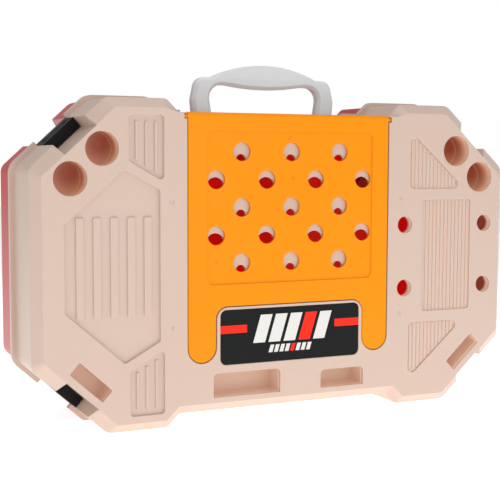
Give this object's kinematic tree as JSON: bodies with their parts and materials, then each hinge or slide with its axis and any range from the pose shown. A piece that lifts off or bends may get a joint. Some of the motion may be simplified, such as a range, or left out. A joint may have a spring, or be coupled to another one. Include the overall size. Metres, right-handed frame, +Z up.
{
  "type": "toy tool case",
  "caption": "Closed toy tool case that doubles as a workbench: two moulded halves with slanted latched corners, hinged pegboard panel and arched carry handle.",
  "frame": {"origin": "middle of the footprint, on the surface that the case stands on", "axes": "+X to the right as seen from the worktop side, +Y from the worktop to the back, +Z up towards the handle"},
  "size_m": [0.4318, 0.1156, 0.2891],
  "materials": {
    "beige_plastic": "satin moulded plastic",
    "red_plastic": "satin moulded plastic",
    "orange_plastic": "glossy moulded plastic",
    "label_black": "printed label with red stripes",
    "grey_plastic": "satin moulded plastic",
    "black_plastic": "glossy moulded plastic",
    "pin_steel": "drawn wire",
    "tool_black": "matte moulded plastic",
    "tool_orange": "glossy moulded plastic",
    "tool_grey": "satin moulded plastic",
    "tool_red": "satin moulded plastic",
    "tool_yellow": "satin moulded plastic"
  },
  "bodies": {
    "rear_shell": {"rear_shell": "red_plastic", "handle_pins": "pin_steel", "latch_pins": "pin_steel", "hammer_head": "tool_black", "hammer_handle": "tool_orange", "screwdriver_grip": "tool_orange", "screwdriver_shaft": "tool_grey", "spanner": "tool_grey", "saw_blade": "tool_grey", "saw_grip": "tool_orange", "toy_bolts": "tool_red", "toy_nuts": "tool_yellow"},
    "front_shell": {"front_shell": "beige_plastic", "label_plate": "label_black"},
    "pegboard_panel": {"pegboard_panel": "orange_plastic"},
    "carry_handle": {"carry_handle": "grey_plastic"},
    "latch_top_left": {"latch_top_left": "black_plastic"},
    "latch_top_right": {"latch_top_right": "black_plastic"},
    "latch_bottom_left": {"latch_bottom_left": "black_plastic"},
    "latch_bottom_right": {"latch_bottom_right": "black_plastic"}
  },
  "joints": [
    {"name": "front_lift_off", "type": "slide", "parent": "rear_shell", "child": "front_shell", "axis": [0, -1, 0], "range_m": [0, 0.15]},
    {"name": "panel_hinge", "type": "hinge", "parent": "front_shell", "child": "pegboard_panel", "pos_m": [0, -0.05455, 0.2437], "axis": [-1, 0, 0], "range_deg": [0, 95]},
    {"name": "handle_fold", "type": "hinge", "parent": "rear_shell", "child": "carry_handle", "pos_m": [0, -0.00075, 0.2385], "axis": [-1, 0, 0], "range_deg": [0, 90]},
    {"name": "latch_top_left_hinge", "type": "hinge", "parent": "rear_shell", "child": "latch_top_left", "pos_m": [-0.17814, 0.008, 0.22817], "axis": [-0.7379, 0, -0.6749], "range_deg": [0, 80]},
    {"name": "latch_bottom_left_hinge", "type": "hinge", "parent": "rear_shell", "child": "latch_bottom_left", "pos_m": [-0.17814, 0.008, 0.02883], "axis": [0.7379, 0, -0.6749], "range_deg": [0, 80]},
    {"name": "latch_top_right_hinge", "type": "hinge", "parent": "rear_shell", "child": "latch_top_right", "pos_m": [0.17814, 0.008, 0.22817], "axis": [-0.7379, 0, 0.6749], "range_deg": [0, 80]},
    {"name": "latch_bottom_right_hinge", "type": "hinge", "parent": "rear_shell", "child": "latch_bottom_right", "pos_m": [0.17814, 0.008, 0.02883], "axis": [0.7379, 0, 0.6749], "range_deg": [0, 80]}
  ]
}
